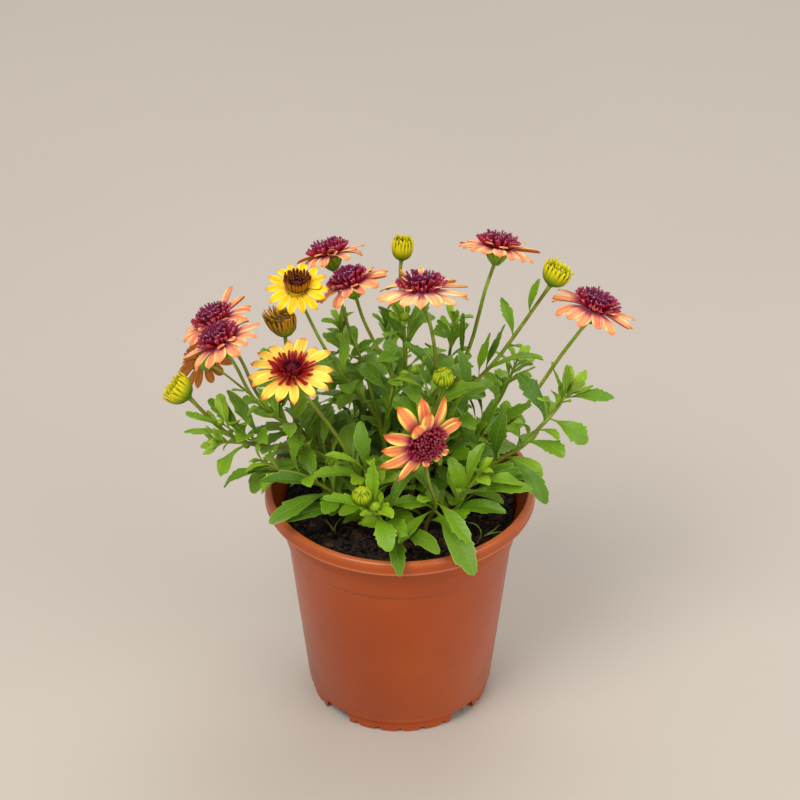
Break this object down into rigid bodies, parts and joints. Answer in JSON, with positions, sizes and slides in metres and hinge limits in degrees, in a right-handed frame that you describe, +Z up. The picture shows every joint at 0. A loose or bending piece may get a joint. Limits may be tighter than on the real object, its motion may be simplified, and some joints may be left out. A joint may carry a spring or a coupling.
{
  "type": "potted osteospermum",
  "caption": "Bushy osteospermum with daisy blooms, opening buds and toothed leaves on branching stems, rooted in peat in a round tapered nursery pot with a rolled lip and a notched foot",
  "frame": {"origin": "on the pot's axis, at the level of the foot that it stands on", "axes": "+Z is up along the pot's axis, -Y is the side that faces the viewer in the picture, +X is to the viewer's right"},
  "size_m": [0.2859, 0.194, 0.3342],
  "materials": {
    "terracotta_plastic": "satin moulded plastic",
    "peat": "matte, crumbly",
    "leaf_green": "soft sheen",
    "orange_petal": "matte",
    "peach_petal": "matte",
    "yellow_petal": "matte",
    "lemon_petal": "matte",
    "bronze_petal": "matte",
    "brown_floret": "matte",
    "crimson_floret": "matte"
  },
  "bodies": {
    "root": {"pot": "terracotta_plastic", "soil": "peat", "shoot_back_left": "leaf_green", "shoot_far_left": "leaf_green", "shoot_left_low": "leaf_green", "shoot_left_rim": "leaf_green", "shoot_front_left": "leaf_green", "shoot_front": "leaf_green", "shoot_mid": "leaf_green", "shoot_back_mid": "leaf_green", "shoot_right_high": "leaf_green", "shoot_right": "leaf_green", "shoot_right_bud": "leaf_green", "shoot_right_low": "leaf_green", "shoot_centre": "leaf_green", "shoot_front_low": "leaf_green", "shoot_left_bud": "leaf_green", "shoot_fresh_right": "leaf_green", "shoot_rosette": "leaf_green", "shoot_behind_left": "leaf_green", "shoot_behind_mid": "leaf_green", "shoot_behind_right": "leaf_green", "shoot_far_right": "leaf_green", "shoot_behind_far_left": "leaf_green", "shoot_over_back_rim": "leaf_green", "shoot_low_back_left": "leaf_green", "bloom_top_right_petals": "orange_petal", "bloom_top_right_disc": "crimson_floret", "bloom_far_right_petals": "orange_petal", "bloom_far_right_disc": "crimson_floret", "bloom_centre_petals": "peach_petal", "bloom_centre_disc": "crimson_floret", "bloom_back_left_petals": "orange_petal", "bloom_back_left_disc": "crimson_floret", "bloom_yellow_small_petals": "lemon_petal", "bloom_yellow_small_disc": "brown_floret", "bloom_left_centre_petals": "orange_petal", "bloom_left_centre_disc": "crimson_floret", "bloom_left_back_petals": "orange_petal", "bloom_left_back_disc": "crimson_floret", "bloom_left_front_petals": "orange_petal", "bloom_left_front_disc": "crimson_floret", "bloom_left_turned_petals": "bronze_petal", "bloom_left_turned_disc": "crimson_floret", "bloom_yellow_front_petals": "yellow_petal", "bloom_yellow_front_disc": "crimson_floret", "bloom_low_front_petals": "orange_petal", "bloom_low_front_disc": "crimson_floret", "bud_top": "lemon_petal", "bud_right": "lemon_petal", "bud_far_left": "lemon_petal", "bud_centre": "lemon_petal", "bud_bronze": "brown_floret", "bud_front": "lemon_petal"}
  },
  "joints": []
}
